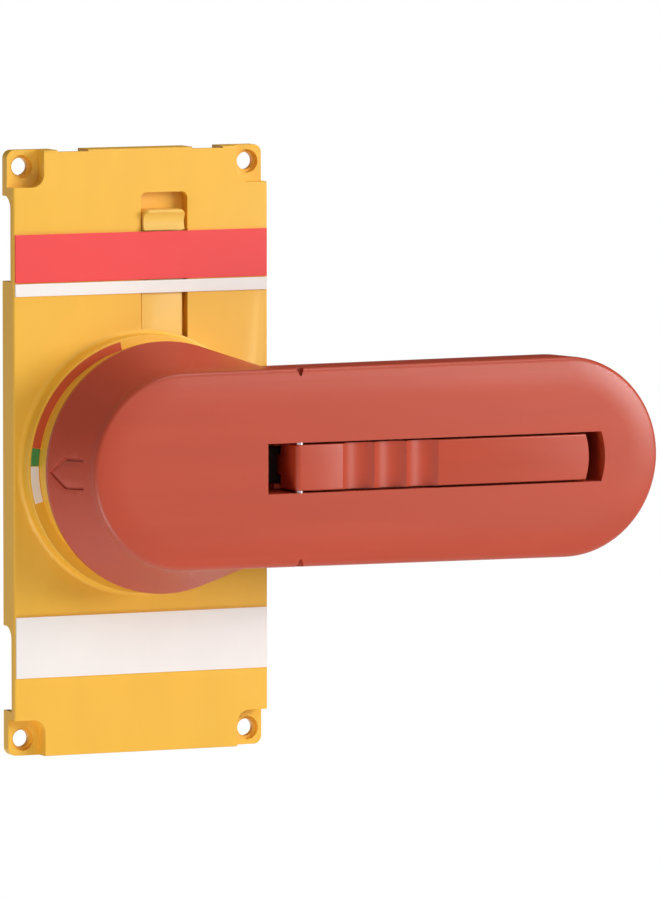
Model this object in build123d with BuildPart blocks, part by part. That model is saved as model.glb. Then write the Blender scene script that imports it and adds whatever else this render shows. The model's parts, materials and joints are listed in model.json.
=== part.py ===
"""Front rotary operator of an isolator switch.

A yellow moulded front plate carries a red lever handle.  The handle's shaft turns a
pinion behind the plate, and the pinion drives a racked carriage whose fork moves the
toggle of the switch behind it.  A bar in the lever swings out for padlocks and pulls a
bolt into the collar, so that the locked handle can't turn.

Frame: millimetres, +Z up, -Y towards the user.  The origin is the centre of the four
fixing screws, on the plane where the plate's rim meets the switch.
"""

import os
from math import acos, atan2, copysign, cos, hypot, pi, radians, sin, sqrt, tan

from build123d import *

os.makedirs("parts", exist_ok=True)

# ---------------------------------------------------------------- driving dimensions
# Levels are distances forward of the mounting plane, towards -Y.

# Front plate
plate_width = 72.6
plate_height = 159.6
plate_depth = 7.5
front_wall = 2.0
skirt_wall = 1.8
plate_corner_radius = 2.2
plate_inner_corner_radius = 1.2
plate_edge_radius = 0.6
hole_inset_x = 4.1
hole_inset_z = 4.4
screw_hole_radius = 2.3
ear_thickness = 3.2
ear_pocket_reach_x = 4.7
ear_pocket_reach_z = 5.3
ear_pocket_radius = 3.4
ear_wall = 1.4
ear_counterbore_radius = 3.1
ear_counterbore_depth = 1.3
side_notch_margin = 12.0
side_notch_length = 22.4
side_notch_radius = 3.6
top_notch_width = 8.7
top_notch_offset = 19.2
top_notch_drop = 0.5

# Collar, pedestal and the coloured position ring
hub_drop = 3.3
collar_side_margin = 2.1
collar_height = 5.0
collar_foot_radius = 1.2
collar_edge_radius = 0.3
pedestal_ledge = 3.1
pedestal_height = 13.8
pedestal_wall = 2.3
pedestal_front_wall = 4.5
ring_inlay_depth = 0.5
ring_inlay_rim = 0.65
ring_inlay_gap = 0.2
ring_inlay_proud = 0.15
sector_start_angle = 104.0
red_sector_angle = 66.3
green_sector_angle = 8.0
white_sector_angle = 17.1
sector_gap_angle = 0.3

# Label strips
label_thickness = 0.6
label_side_margin = 0.4
red_label_drop = 22.0
red_label_height = 12.6
white_label_gap = 0.3
white_label_height = 3.3
lower_label_gap = 4.1
lower_label_height = 16.1

# Release slide and its channel, to the right of the hub's axis
channel_left, channel_right = 0.0, 13.3
channel_drop = 11.7
channel_depth = 3.2
channel_floor = 1.2
channel_corner_radius = 1.6
channel_bore_overlap = 3.4
release_side_gap = 0.4
release_right_gap = 1.4
release_floor_gap = 0.2
release_thickness = 2.4
release_top_gap = 4.5
release_corner_radius = 1.4
release_tab_length = 5.4
release_tab_height = 2.4
release_tab_round = 1.2
release_scoop_radius = 3.2
release_scoop_rise = 1.6
release_scoop_drop = 3.4
release_tail_overlap = 5.4

# Return spring of the release slide, between the slide's tail and a post on the plate
spring_radius = 1.6
spring_wire_radius = 0.3
spring_turns = 4
spring_length = 7.4
spring_post_radius = 2.2
spring_post_gap = 0.1

# Handle
lever_front_height = 30.9
skirt_gap = 0.5
skirt_radius = 33.2
skirt_top_radius = 25.6
skirt_top_drop = 1.9
skirt_lip = 1.3
skirt_blend_x = 26.5
skirt_side_step = 0.2
skirt_side_draft = 1.0
arrow_half_width = 3.7
arrow_tip_rise = 2.5
arrow_head_length = 3.7
arrow_body_length = 5.2
arrow_stroke = 0.8
arrow_depth = 0.5
lever_half_width_hub = 26.0
lever_half_width_tip = 26.7
lever_tip_centre_x = 109.9
lever_draft = 0.4
lever_edge_radius = 1.6
lever_crown_drop = 0.8
lever_crown_width = 7.5
edge_step_count, crown_step_count = 6, 4
shell_wall = 2.4
shell_front_wall = 2.4
back_cover_thickness = 2.4
back_cover_left = 29.5
back_cover_seat_x = 25.5
cover_clearance = 0.15
cover_boss_radius = 3.2
cover_screw_x = (45.0, 114.0)
cover_screw_z = 15.5

# Padlock slot and bar
slot_left, slot_right = 23.0, 119.5
slot_half_width = 6.65
slot_end_bulge = 1.1
slot_wall = 1.8
bar_gap = 0.6
bar_left, bar_right = 31.0, 115.0
bar_end_bulge = 1.0
bar_thickness = 5.2
bar_edge_radius = 0.4
bar_heel_length = 3.4
bar_heel_round = 1.4
bar_nose_lift = 0.5
bar_ledge_left, bar_ledge_right = 38.0, 110.0
bar_ledge_reach = 0.8
bar_ledge_thickness = 1.4
bar_ledge_gap = 0.2
scallop_start = 44.3
scallop_pitch = 9.2
scallop_count = 3
scallop_depth = 1.9
hinge_x = 32.6
hinge_depth = 1.75
hinge_pin_radius = 1.1
hinge_pin_clearance = 0.05
hinge_pin_inset = 2.2
hinge_pin_chamfer = 0.25
padlock_window_left, padlock_window_right = 43.0, 74.0

# Lock bolt
bolt_thickness = 3.0
bolt_half_width = 4.6
bolt_finger_x = 20.6
bolt_finger_length = 3.0
bolt_tail_x = 38.0
bolt_pocket_reach = 2.6
bar_nose_half_width = 2.5
bolt_clearance = 0.35
bolt_top_gap = 0.6
bolt_guide_thickness = 1.4
bolt_guide_end_gap = 1.0
lock_groove_inner, lock_groove_outer = 20.0, 25.0
lock_groove_depth = 2.4
lock_notch_reach = 29.4

# Shaft, bush and pinion
shaft_radius = 7.0
shaft_column_wall = 2.0
bearing_clearance = 0.05
bush_wall = 2.5
bush_flange_radius = 12.0
bush_flange_thickness = 2.0
bush_length = 11.8
shaft_flange_radius = 15.0
shaft_flange_thickness = 3.0
shaft_flange_lift = 3.2
thrust_collar_radius = 8.3
thrust_gap = 0.2
shaft_square = 7.2
shaft_stub_length = 3.0
socket_clearance = 0.2
flange_screw_radius = 11.3
flange_screw_count = 3
clip_thickness = 1.2
clip_end_gap = 0.3
bush_chamfer = 0.4
clip_wall = 2.6
clip_groove_depth = 0.8
gear_module = 1.0
pinion_teeth = 16
pinion_width = 6.0
pinion_rear = 2.0
pinion_web = 1.0
pinion_screw_length = 7.0
pressure_angle = 20.0
pinion_addendum = 0.95
rack_addendum = 0.9
gear_root = 1.15
tooth_foot = 0.4
gear_backlash = 0.12
on_angle = 90.0
reset_angle = 15.0

# Carriage, rack and rear frame (rearward of the mounting plane, towards +Y)
carriage_front = 5.0
carriage_thickness = 3.0
carriage_half_width = 20.6
carriage_half_height = 22.0
toggle_window_width = 16.0
toggle_window_height = 9.0
toggle_pad_thickness = 1.2
carriage_corner_radius = 1.5
rack_back_x = 15.0
rack_end_margin = 5.0
rack_screw_inset = 4.0
frame_clearance = 0.3
frame_base_thickness = 2.5
frame_half_width = 24.0
frame_lip = 2.0
frame_window_margin = 1.0
frame_end_length = 7.0
frame_screw_x = 17.0
frame_boss_radius = 3.1

# Fasteners
m3_radius = 1.5
m3_head_radius = 2.8
m3_head_height = 1.6
screw_head_chamfer = 0.3
m3_clearance = 0.2
flange_screw_grip = 6.0
cover_screw_grip = 7.2
frame_screw_grip = 5.6
rack_screw_grip = 4.6
screw_hole_spare = 0.5

# A cutting shape runs past a surface by cut_past; joined shapes run into each other by overlap
cut_past = 1.0
overlap = 0.1
tolerance = 0.01

# ---------------------------------------------------------------- derived levels
plate_inner_level = plate_depth - front_wall
hub_z = -hub_drop
collar_radius = plate_width / 2 - collar_side_margin
pedestal_radius = collar_radius - pedestal_ledge
collar_level = plate_depth + collar_height
pedestal_level = plate_depth + pedestal_height
pedestal_inner_level = pedestal_level - pedestal_front_wall
pedestal_bore = pedestal_radius - pedestal_wall
skirt_level = pedestal_level + skirt_gap
lever_level = plate_depth + lever_front_height
cover_inner_level = skirt_level + back_cover_thickness
bush_radius = shaft_radius + bearing_clearance + bush_wall
bush_rear_level = pedestal_level - bush_length
shaft_flange_level = pedestal_level + shaft_flange_lift
shell_inner_level = lever_level - shell_front_wall
pinion_pitch_radius = gear_module * pinion_teeth / 2
carriage_up_travel = pinion_pitch_radius * radians(on_angle)
carriage_down_travel = pinion_pitch_radius * radians(reset_angle)
carriage_rear = carriage_front + carriage_thickness
frame_base_front = carriage_rear + frame_clearance
frame_rear = frame_base_front + frame_base_thickness
toggle_z = -carriage_up_travel / 2
hinge_level = lever_level - hinge_depth
bolt_level = cover_inner_level + bolt_clearance
bolt_front_level = bolt_level + bolt_thickness
nose_level = bolt_level + bar_nose_lift
skirt_lip_level = skirt_level + skirt_lip
skirt_top_level = lever_level - skirt_top_drop
cover_screw_points = [(x, side * cover_screw_z) for x in cover_screw_x for side in (-1, 1)]
channel_level = plate_depth - channel_depth
release_left = channel_left + release_side_gap
release_right = channel_right - release_right_gap
release_middle = (release_left + release_right) / 2
release_level = channel_level + release_floor_gap
release_bottom = hub_z + pedestal_bore - release_tail_overlap
spring_level = release_level + release_thickness / 2
spring_post_reach = bush_flange_radius + spring_post_gap + spring_post_radius
spring_post_lift = sqrt(spring_post_reach**2 - release_middle**2)
spring_low = max(
    release_bottom - spring_length, hub_z + spring_post_lift + spring_post_radius
)
green_start_angle = sector_start_angle + red_sector_angle + sector_gap_angle
white_start_angle = green_start_angle + green_sector_angle + sector_gap_angle
sector_spans = {
    "red_sector": (sector_start_angle, red_sector_angle),
    "green_sector": (green_start_angle, green_sector_angle),
    "white_sector": (white_start_angle, white_sector_angle),
}
hole_x = plate_width / 2 - hole_inset_x
hole_z = plate_height / 2 - hole_inset_z
ears = [(x, z) for x in (-hole_x, hole_x) for z in (-hole_z, hole_z)]
channel_top = plate_height / 2 - channel_drop
side_notch_high = plate_height / 2 - side_notch_margin
side_notch_low = side_notch_high - side_notch_length
red_label_bottom = plate_height / 2 - red_label_drop - red_label_height
white_label_bottom = red_label_bottom - white_label_gap - white_label_height
lower_label_top = hub_z - collar_radius - collar_foot_radius - lower_label_gap
lower_label_bottom = lower_label_top - lower_label_height
frame_top_z = carriage_half_height + carriage_up_travel + frame_clearance
frame_bottom_z = -carriage_half_height - carriage_down_travel - frame_clearance
frame_screw_points = [
    (side * frame_screw_x, level)
    for side in (-1, 1)
    for level in (frame_bottom_z - frame_end_length / 2, frame_top_z + frame_end_length / 2)
]


def front_plane(level):
    """Plane parallel to the plate, level millimetres forward, centred on the fixing holes."""
    return Plane.XZ.offset(level)


def hub_plane(level):
    """The same plane centred on the hub's axis."""
    return Plane(origin=(0, -level, hub_z), x_dir=(1, 0, 0), z_dir=(0, -1, 0))


def side_plane(z):
    """Plane across the height, centred on the hub's axis, with Y to the rear."""
    return Plane.XY.offset(hub_z + z)


def write(part, name):
    """Label a finished piece and write its file."""
    part.label = name
    export_step(part, f"parts/{name}.step")


def outlined(line):
    """Flat face inside a closed line."""
    with BuildSketch() as face:
        add(line)
        make_face()
    return face.sketch


def lever_outline(inset=0.0, left=None):
    """Outline of the lever seen from the front.

    With left given, the outline starts at a straight edge there and not at the hub.
    """
    hub_half = lever_half_width_hub - inset
    tip_half = lever_half_width_tip - inset
    lean = (tip_half - hub_half) / lever_tip_centre_x
    with BuildLine() as outline:
        if left is None:
            start = (0, hub_half)
            ThreePointArc(start, (-hub_half, 0), (0, -hub_half))
        else:
            start = (left, hub_half + lean * left)
            Line(start, (left, -start[1]))
        Line((start[0], -start[1]), (lever_tip_centre_x, -tip_half))
        ThreePointArc(
            (lever_tip_centre_x, -tip_half),
            (lever_tip_centre_x + tip_half, 0),
            (lever_tip_centre_x, tip_half),
        )
        Line((lever_tip_centre_x, tip_half), start)
    return outlined(outline.line)


def skirt_outline(radius, half_width, blend_x=skirt_blend_x):
    """Round skirt whose sides run as tangents into the lever's sides."""
    reach = hypot(blend_x, half_width)
    turn = atan2(half_width, blend_x) + acos(radius / reach)
    touch = (radius * cos(turn), radius * sin(turn))
    with BuildLine() as outline:
        ThreePointArc(touch, (-radius, 0), (touch[0], -touch[1]))
        Polyline(
            (touch[0], -touch[1]), (blend_x, -half_width), (blend_x, half_width), touch
        )
    return outlined(outline.line)


def bulged_bar(left, right, half_width, bulge):
    """Long rectangle whose right end bows outwards."""
    with BuildLine() as outline:
        Polyline((right, half_width), (left, half_width), (left, -half_width), (right, -half_width))
        ThreePointArc((right, -half_width), (right + bulge, 0), (right, half_width))
    return outlined(outline.line)


def turned(x, y, angle):
    """Point (x, y) turned about the origin by an angle in degrees."""
    cosine, sine = cos(radians(angle)), sin(radians(angle))
    return (x * cosine - y * sine, x * sine + y * cosine)


def ring_sector(start, size):
    """Part of the ring between the pedestal and the collar's edge, by start angle and size."""
    inner = pedestal_radius + ring_inlay_gap
    outer = collar_radius - ring_inlay_rim
    with BuildLine() as outline:
        CenterArc((0, 0), outer, start, size)
        CenterArc((0, 0), inner, start, size)
        for angle in (start, start + size):
            Line(turned(inner, 0, angle), turned(outer, 0, angle))
    return outlined(outline.line)


def bolt_notch(first, last):
    """Notch beside the bolt's groove that takes the bolt anywhere between two angles."""
    half = bolt_half_width + bolt_clearance
    start = (lock_groove_inner + lock_groove_outer) / 2
    reach = sqrt(lock_notch_reach**2 - half**2)
    with BuildLine() as outline:
        Polyline(
            turned(reach, half, last), turned(start, half, last),
            turned(start, -half, first), turned(reach, -half, first),
        )
        ThreePointArc(
            turned(reach, -half, first),
            turned(lock_notch_reach, 0, (first + last) / 2),
            turned(reach, half, last),
        )
    return outlined(outline.line)


def ear_pockets(extra):
    """The four ears' pockets, made larger by extra, each open to its corner of the plate."""
    radius = ear_pocket_radius + extra
    with BuildSketch() as pockets:
        for x, z in ears:
            with Locations((copysign(plate_width / 2, x), copysign(plate_height / 2, z))):
                RectangleRounded(
                    2 * (hole_inset_x + ear_pocket_reach_x + extra),
                    2 * (hole_inset_z + ear_pocket_reach_z + extra),
                    radius,
                )
    return pockets.sketch


# ---------------------------------------------------------------- front plate

with BuildPart() as front_plate:
    with BuildSketch(front_plane(0)):
        RectangleRounded(plate_width, plate_height, plate_corner_radius)
    extrude(amount=plate_depth)
    fillet(front_plate.faces().sort_by(Axis.Y)[0].edges(), plate_edge_radius)
    with BuildSketch(front_plane(0)):
        RectangleRounded(
            plate_width - 2 * skirt_wall,
            plate_height - 2 * skirt_wall,
            plate_inner_corner_radius,
        )
    extrude(amount=plate_inner_level, mode=Mode.SUBTRACT)

    # solid corners, each with a sunk ear that opens to the corner
    with BuildSketch(front_plane(0)):
        add(ear_pockets(ear_wall))
        RectangleRounded(plate_width, plate_height, plate_corner_radius, mode=Mode.INTERSECT)
    extrude(amount=plate_inner_level)
    with BuildSketch(front_plane(ear_thickness)):
        add(ear_pockets(0))
    extrude(amount=plate_depth, mode=Mode.SUBTRACT)
    with BuildSketch(front_plane(0)):
        with Locations(*ears):
            Circle(screw_hole_radius)
    extrude(amount=plate_depth, mode=Mode.SUBTRACT)
    with BuildSketch(front_plane(ear_thickness - ear_counterbore_depth)):
        with Locations(*ears):
            Circle(ear_counterbore_radius)
    extrude(amount=plate_depth, mode=Mode.SUBTRACT)

    # finger notches in the two long sides, each with a round upper end
    for side in (-1, 1):
        for low, high in ((side_notch_low, side_notch_high), (-side_notch_high, -side_notch_low)):
            with BuildSketch(Plane.YZ.offset(side * (plate_width / 2 - skirt_wall - overlap))):
                with BuildLine():
                    Polyline(
                        (cut_past, high), (cut_past, low), (-plate_inner_level, low),
                        (-plate_inner_level, high - side_notch_radius),
                    )
                    RadiusArc(
                        (-plate_inner_level, high - side_notch_radius),
                        (-plate_inner_level + side_notch_radius, high),
                        side_notch_radius,
                    )
                    Line((-plate_inner_level + side_notch_radius, high), (cut_past, high))
                make_face()
            extrude(amount=side * (skirt_wall + cut_past), mode=Mode.SUBTRACT)

    # two notches in the top rim, right through it behind the front wall
    for bottom, depth in (
        (plate_height / 2 - skirt_wall - overlap, plate_inner_level),
        (plate_height / 2 - top_notch_drop, plate_depth + cut_past),
    ):
        with BuildSketch(Plane.XY.offset(bottom)):
            with Locations((-top_notch_offset, 0), (top_notch_offset, 0)):
                Rectangle(top_notch_width, 2 * depth)
        extrude(amount=plate_height / 2 - bottom + cut_past, mode=Mode.SUBTRACT)

    # collar with its ledge, and the pedestal under the handle
    with BuildSketch(hub_plane(plate_inner_level)):
        Circle(collar_radius)
    extrude(amount=collar_level - plate_inner_level)
    fillet(
        front_plate.edges()
        .filter_by(GeomType.CIRCLE)
        .filter_by(lambda edge: abs(edge.radius - collar_radius) < tolerance)
        .filter_by(lambda edge: abs(edge.center().Y + plate_depth) < tolerance),
        collar_foot_radius,
    )
    fillet(
        front_plate.edges()
        .filter_by(GeomType.CIRCLE)
        .filter_by(lambda edge: abs(edge.radius - collar_radius) < tolerance)
        .filter_by(lambda edge: abs(edge.center().Y + collar_level) < tolerance),
        collar_edge_radius,
    )
    with BuildSketch(hub_plane(collar_level)):
        Circle(pedestal_radius)
    extrude(amount=pedestal_level - collar_level)
    with BuildSketch(hub_plane(0)):
        Circle(pedestal_bore)
    extrude(amount=pedestal_inner_level, mode=Mode.SUBTRACT)
    with BuildSketch(front_plane(spring_level - spring_radius - spring_wire_radius)):
        with Locations((release_middle, spring_low - spring_post_radius)):
            Circle(spring_post_radius)
    extrude(until=Until.NEXT)

    # bosses for the rear frame's screws
    with BuildSketch(hub_plane(0)):
        with Locations(*frame_screw_points):
            Circle(frame_boss_radius)
    extrude(amount=plate_inner_level)

    # channel for the release slide: a pocket in the plate and a tunnel under the collar
    channel_bottom = hub_z + pedestal_bore - channel_bore_overlap
    channel_width = channel_right - channel_left
    channel_middle = (channel_left + channel_right) / 2
    with BuildSketch(front_plane(channel_level - channel_floor)):
        with Locations((channel_middle, channel_top + channel_floor)):
            Rectangle(
                channel_width + 2 * channel_floor,
                channel_top + channel_floor - hub_z - pedestal_bore,
                align=(Align.CENTER, Align.MAX),
            )
    extrude(amount=channel_floor + channel_depth - overlap)
    with BuildSketch(front_plane(channel_level)) as channel_outline:
        with Locations((channel_middle, channel_bottom)):
            Rectangle(
                channel_width, channel_top - channel_bottom, align=(Align.CENTER, Align.MIN)
            )
        fillet(channel_outline.vertices().group_by(Axis.Y)[-1], channel_corner_radius)
    extrude(amount=channel_depth, mode=Mode.SUBTRACT)

    # recesses for the coloured sectors of the position ring
    with BuildSketch(hub_plane(collar_level - ring_inlay_depth)):
        for span in sector_spans.values():
            add(ring_sector(*span))
    extrude(amount=ring_inlay_depth, mode=Mode.SUBTRACT)

    # bearing seat, and the bolt's groove with a notch from OFF to RESET and one at ON
    with BuildSketch(hub_plane(0)):
        Circle(bush_radius)
    extrude(amount=pedestal_level, mode=Mode.SUBTRACT)
    with BuildSketch(hub_plane(pedestal_level - lock_groove_depth)):
        Circle(lock_groove_outer)
        Circle(lock_groove_inner, mode=Mode.SUBTRACT)
        add(bolt_notch(0, reset_angle))
        add(bolt_notch(-on_angle, -on_angle))
    extrude(amount=lock_groove_depth, mode=Mode.SUBTRACT)

    # pilot holes for the rear frame's screws
    with BuildSketch(hub_plane(0)):
        with Locations(*frame_screw_points):
            Circle(m3_radius)
    extrude(amount=frame_screw_grip + screw_hole_spare, mode=Mode.SUBTRACT)

write(front_plate.part, "front_plate")

# ---------------------------------------------------------------- labels and ring sectors
label_width = plate_width - 2 * label_side_margin
for name, bottom, height in (
    ("red_label", red_label_bottom, red_label_height),
    ("white_label", white_label_bottom, white_label_height),
    ("lower_label", lower_label_bottom, lower_label_height),
):
    with BuildPart() as label:
        with BuildSketch(front_plane(plate_depth)):
            with Locations((0, bottom)):
                Rectangle(label_width, height, align=(Align.CENTER, Align.MIN))
        extrude(amount=label_thickness)
    write(label.part, name)

for name, span in sector_spans.items():
    with BuildPart() as sector:
        with BuildSketch(hub_plane(collar_level - ring_inlay_depth)):
            add(ring_sector(*span))
        extrude(amount=ring_inlay_depth + ring_inlay_proud)
    write(sector.part, name)

# ---------------------------------------------------------------- release slide
release_top = channel_top - release_top_gap

with BuildPart() as release_slide:
    with BuildSketch(front_plane(release_level)):
        with Locations((release_middle, release_bottom)):
            Rectangle(
                release_right - release_left, release_top - release_bottom,
                align=(Align.CENTER, Align.MIN),
            )
    extrude(amount=release_thickness)
    with BuildSketch(front_plane(release_level)):
        with Locations((release_middle, release_top)):
            Rectangle(
                release_right - release_left, release_tab_length, align=(Align.CENTER, Align.MAX)
            )
    extrude(amount=plate_depth + release_tab_height - release_level)
    fillet(
        release_slide.edges().filter_by(Axis.Y).group_by(Axis.Z)[-1], release_corner_radius
    )
    tab_front = release_slide.faces().sort_by(Axis.Y)[0]
    fillet(tab_front.edges().sort_by(Axis.Z)[-1], release_tab_round)
    with BuildSketch(Plane.YZ.offset(release_left - cut_past)):
        scoop_y = -plate_depth - release_tab_height - release_scoop_rise
        with Locations((scoop_y, release_top - release_scoop_drop)):
            Circle(release_scoop_radius)
    extrude(amount=release_right - release_left + 2 * cut_past, mode=Mode.SUBTRACT)
write(release_slide.part, "release_slide")

with BuildPart() as release_spring:
    coil_height = release_bottom - spring_low - 2 * spring_wire_radius
    with BuildLine() as coil:
        Helix(
            coil_height / spring_turns, coil_height, spring_radius,
            center=(release_middle, -spring_level, spring_low + spring_wire_radius),
        )
    with BuildSketch(Plane(coil.line @ 0, z_dir=coil.line % 0)):
        RegularPolygon(spring_wire_radius, 6)
    sweep()
write(release_spring.part, "release_spring")

# ---------------------------------------------------------------- bearing and shaft
with BuildPart() as bearing_bush:
    with BuildSketch(hub_plane(bush_rear_level)):
        Circle(bush_radius)
    extrude(amount=bush_length)
    with BuildSketch(hub_plane(pedestal_inner_level - bush_flange_thickness)):
        Circle(bush_flange_radius)
    extrude(amount=bush_flange_thickness)
    with BuildSketch(hub_plane(bush_rear_level)):
        Circle(shaft_radius + bearing_clearance)
    extrude(amount=bush_length, mode=Mode.SUBTRACT)
    chamfer(bearing_bush.faces().sort_by(Axis.Y)[0].outer_wire().edges(), bush_chamfer)
write(bearing_bush.part, "bearing_bush")

clip_level = bush_rear_level - clip_end_gap - clip_thickness
pinion_front_level = pinion_width - pinion_rear
pinion_web_level = -pinion_rear + m3_head_height + m3_clearance
shaft_square_level = pinion_web_level + pinion_web

with BuildPart() as drive_shaft:
    with BuildSketch(hub_plane(pinion_front_level)):
        Circle(shaft_radius)
    extrude(amount=shaft_flange_level - pinion_front_level)
    with BuildSketch(hub_plane(shaft_flange_level)):
        Circle(shaft_flange_radius)
    extrude(amount=shaft_flange_thickness)
    with BuildSketch(hub_plane(shaft_flange_level + shaft_flange_thickness)):
        Rectangle(shaft_square, shaft_square)
    extrude(amount=shaft_stub_length)
    with BuildSketch(hub_plane(shaft_square_level)):
        Rectangle(shaft_square, shaft_square)
    extrude(amount=pinion_front_level - shaft_square_level)
    with BuildSketch(hub_plane(clip_level)):
        Circle(shaft_radius)
        Circle(shaft_radius - clip_groove_depth, mode=Mode.SUBTRACT)
    extrude(amount=clip_thickness, mode=Mode.SUBTRACT)
    with BuildSketch(hub_plane(shaft_flange_level)):
        with PolarLocations(flange_screw_radius, flange_screw_count, start_angle=90):
            Circle(m3_radius + m3_clearance)
    extrude(amount=shaft_flange_thickness, mode=Mode.SUBTRACT)
    with BuildSketch(hub_plane(pedestal_level + thrust_gap)):
        Circle(thrust_collar_radius)
    extrude(amount=shaft_flange_lift - thrust_gap)
    with BuildSketch(hub_plane(shaft_square_level)):
        Circle(m3_radius)
    extrude(amount=pinion_screw_length, mode=Mode.SUBTRACT)
write(drive_shaft.part, "drive_shaft")

with BuildPart() as shaft_clip:
    with BuildSketch(hub_plane(clip_level)):
        Circle(shaft_radius - clip_groove_depth + clip_wall)
        Circle(shaft_radius - clip_groove_depth, mode=Mode.SUBTRACT)
        with Locations((0, -shaft_radius)):
            Rectangle(shaft_radius, 2 * shaft_radius, mode=Mode.SUBTRACT)
    extrude(amount=clip_thickness)
write(shaft_clip.part, "shaft_clip")

# ---------------------------------------------------------------- pinion and rack
flank_lean = tan(radians(pressure_angle))


def involute(angle):
    """Involute function of a pressure angle."""
    return tan(angle) - angle


def pinion_tooth():
    """One involute tooth of the pinion, pointing along +X."""
    base_radius = pinion_pitch_radius * cos(radians(pressure_angle))
    tip_radius = pinion_pitch_radius + pinion_addendum * gear_module
    foot_radius = pinion_pitch_radius - gear_root * gear_module - tooth_foot
    half_at_pitch = pi / (2 * pinion_teeth) - gear_backlash / (4 * pinion_pitch_radius)
    half_at_base = half_at_pitch + involute(radians(pressure_angle))
    steps = 5
    upper = []
    for step in range(steps + 1):
        radius = base_radius + (tip_radius - base_radius) * step / steps
        half = half_at_base - involute(acos(base_radius / radius))
        upper.append((radius * cos(half), radius * sin(half)))
    lower = [(x, -y) for x, y in upper]
    foot = (foot_radius * cos(half_at_base), foot_radius * sin(half_at_base))
    with BuildLine() as outline:
        Spline(*upper)
        ThreePointArc(upper[-1], (tip_radius, 0), lower[-1])
        Spline(*lower)
        Polyline(upper[0], foot, (foot[0], -foot[1]), lower[0])
    return outlined(outline.line)


def rack_tooth(z):
    """One straight-sided tooth of the rack at height z, pointing along +X."""
    pitch_line = -pinion_pitch_radius
    half_at_pitch = (pi * gear_module - gear_backlash) / 4
    tip_half = half_at_pitch - rack_addendum * gear_module * flank_lean
    root_half = half_at_pitch + gear_root * gear_module * flank_lean
    tip_x = pitch_line + rack_addendum * gear_module
    root_x = pitch_line - gear_root * gear_module
    with BuildLine() as outline:
        Polyline(
            (root_x, z - root_half), (tip_x, z - tip_half), (tip_x, z + tip_half),
            (root_x, z + root_half), (root_x - tooth_foot, z + root_half),
            (root_x - tooth_foot, z - root_half), close=True,
        )
    return outlined(outline.line)


def screws(plane, points, length):
    """Like screws in one node: heads behind the plane, shanks in front of it."""
    with BuildPart() as group:
        with BuildSketch(plane.offset(-m3_head_height)):
            with Locations(*points):
                Circle(m3_head_radius)
        extrude(amount=m3_head_height)
        chamfer(group.faces().filter_by(Axis.Y).sort_by(Axis.Y)[-len(points):].edges(), screw_head_chamfer)
        with BuildSketch(plane):
            with Locations(*points):
                Circle(m3_radius)
        extrude(amount=length)
    return group.part


with BuildPart() as pinion:
    with BuildSketch(hub_plane(-pinion_rear)):
        Circle(pinion_pitch_radius - gear_root * gear_module)
        with PolarLocations(0, pinion_teeth):
            add(pinion_tooth())
    extrude(amount=pinion_width)
    with BuildSketch(hub_plane(shaft_square_level)):
        Rectangle(shaft_square, shaft_square)
    extrude(amount=pinion_width, mode=Mode.SUBTRACT)
    with BuildSketch(hub_plane(-pinion_rear)):
        Circle(m3_radius + m3_clearance)
    extrude(amount=pinion_width, mode=Mode.SUBTRACT)
    with BuildSketch(hub_plane(-pinion_rear)):
        Circle(m3_head_radius + m3_clearance)
    extrude(amount=pinion_rear + pinion_web_level, mode=Mode.SUBTRACT)
write(pinion.part, "pinion")
write(
    screws(hub_plane(pinion_web_level), [(0, 0)], pinion_web + pinion_screw_length),
    "pinion_screw",
)

rack_low = -carriage_up_travel - rack_end_margin
rack_high = carriage_down_travel + rack_end_margin
rack_root_x = -pinion_pitch_radius - gear_root * gear_module
rack_screw_x = (rack_root_x - rack_back_x) / 2
rack_screw_points = [
    (rack_screw_x, rack_low + rack_screw_inset), (rack_screw_x, rack_high - rack_screw_inset)
]
tooth_pitch = pi * gear_module

with BuildPart() as rack:
    with BuildSketch(hub_plane(-carriage_front)):
        with Locations((-rack_back_x, rack_low)):
            Rectangle(
                rack_back_x + rack_root_x, rack_high - rack_low, align=(Align.MIN, Align.MIN)
            )
        first_tooth = int((rack_low + 1) / tooth_pitch)
        last_tooth = int((rack_high - 1) / tooth_pitch)
        for index in range(first_tooth, last_tooth + 1):
            z = (index - 0.5) * tooth_pitch
            if z - tooth_pitch / 2 > rack_low:
                add(rack_tooth(z))
    extrude(amount=carriage_front + pinion_width - pinion_rear)
    with BuildSketch(hub_plane(-carriage_front)):
        with Locations(*rack_screw_points):
            Circle(m3_radius)
    extrude(amount=rack_screw_grip + screw_hole_spare, mode=Mode.SUBTRACT)
write(rack.part, "rack")
write(
    screws(
        hub_plane(-carriage_rear + m3_head_height), rack_screw_points,
        carriage_thickness - m3_head_height + rack_screw_grip,
    ),
    "rack_screws",
)

# ---------------------------------------------------------------- carriage
with BuildPart() as toggle_carriage:
    with BuildSketch(hub_plane(-carriage_rear)):
        Rectangle(2 * carriage_half_width, 2 * carriage_half_height)
    extrude(amount=carriage_thickness)
    fillet(toggle_carriage.edges().filter_by(Axis.Y), carriage_corner_radius)
    with BuildSketch(hub_plane(-carriage_rear)):
        with Locations((0, toggle_z)):
            Rectangle(toggle_window_width, toggle_window_height + 2 * toggle_pad_thickness)
    extrude(amount=carriage_thickness, mode=Mode.SUBTRACT)
    with BuildSketch(hub_plane(-carriage_rear)):
        with Locations(*rack_screw_points):
            Circle(m3_radius + m3_clearance)
    extrude(amount=carriage_thickness, mode=Mode.SUBTRACT)
    with BuildSketch(hub_plane(-carriage_rear)):
        with Locations(*rack_screw_points):
            Circle(m3_head_radius + m3_clearance)
    extrude(amount=m3_head_height, mode=Mode.SUBTRACT)
write(toggle_carriage.part, "toggle_carriage")

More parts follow.
